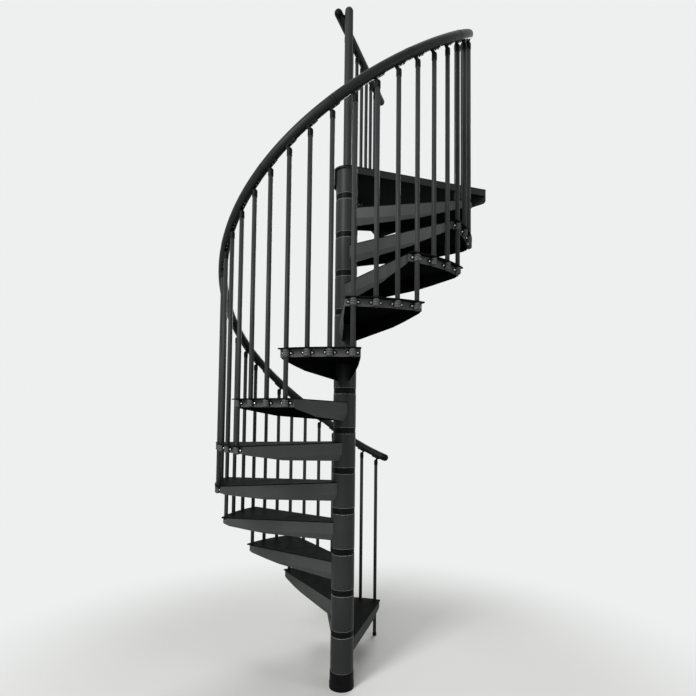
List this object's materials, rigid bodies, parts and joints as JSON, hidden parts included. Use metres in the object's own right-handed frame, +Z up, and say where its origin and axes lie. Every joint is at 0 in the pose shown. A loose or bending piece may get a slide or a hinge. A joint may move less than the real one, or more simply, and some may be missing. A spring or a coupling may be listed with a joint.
{
  "type": "spiral staircase",
  "caption": "Modular spiral staircase of folded steel treads on a stacked hub column, with bar balusters, a helical round handrail and a three-sided landing platform with its own rail.",
  "frame": {"origin": "centre of the base plate's underside, on the floor, under the axis of the column", "axes": "+Z up along the column; the stair climbs anticlockwise seen from above, and -Y faces the camera of the picture"},
  "size_m": [1.5627, 1.5684, 3.8742],
  "materials": {
    "powder_coated_steel": "satin",
    "tread_surface": "matte",
    "handrail_sleeve": "satin",
    "black_plastic": "matte",
    "bare_steel": "satin"
  },
  "bodies": {
    "root": {"baluster_necks_lower": "black_plastic", "baluster_necks_middle": "black_plastic", "baluster_necks_upper": "black_plastic", "balusters_1": "powder_coated_steel", "balusters_2": "powder_coated_steel", "balusters_3": "powder_coated_steel", "balusters_4": "powder_coated_steel", "balusters_5": "powder_coated_steel", "balusters_6": "powder_coated_steel", "base_cover": "black_plastic", "base_plate": "bare_steel", "centre_pole": "bare_steel", "handrail_front": "handrail_sleeve", "handrail_joints": "black_plastic", "handrail_left": "handrail_sleeve", "handrail_lower": "handrail_sleeve", "handrail_upper": "handrail_sleeve", "hub_tubes": "powder_coated_steel", "landing_balusters": "powder_coated_steel", "landing_hub": "powder_coated_steel", "landing_necks": "black_plastic", "landing_rail": "handrail_sleeve", "landing_saddles": "powder_coated_steel", "newel_post": "powder_coated_steel", "platform": "powder_coated_steel", "platform_cover": "tread_surface", "rail_end_caps": "black_plastic", "saddles_lower": "powder_coated_steel", "saddles_middle": "powder_coated_steel", "saddles_upper": "powder_coated_steel", "spacers": "black_plastic", "tread_01": "powder_coated_steel", "tread_02": "powder_coated_steel", "tread_03": "powder_coated_steel", "tread_04": "powder_coated_steel", "tread_05": "powder_coated_steel", "tread_06": "powder_coated_steel", "tread_07": "powder_coated_steel", "tread_08": "powder_coated_steel", "tread_09": "powder_coated_steel", "tread_10": "powder_coated_steel", "tread_11": "powder_coated_steel", "tread_12": "powder_coated_steel", "tread_covers_lower": "tread_surface", "tread_covers_middle": "tread_surface", "tread_covers_upper": "tread_surface"}
  },
  "joints": []
}
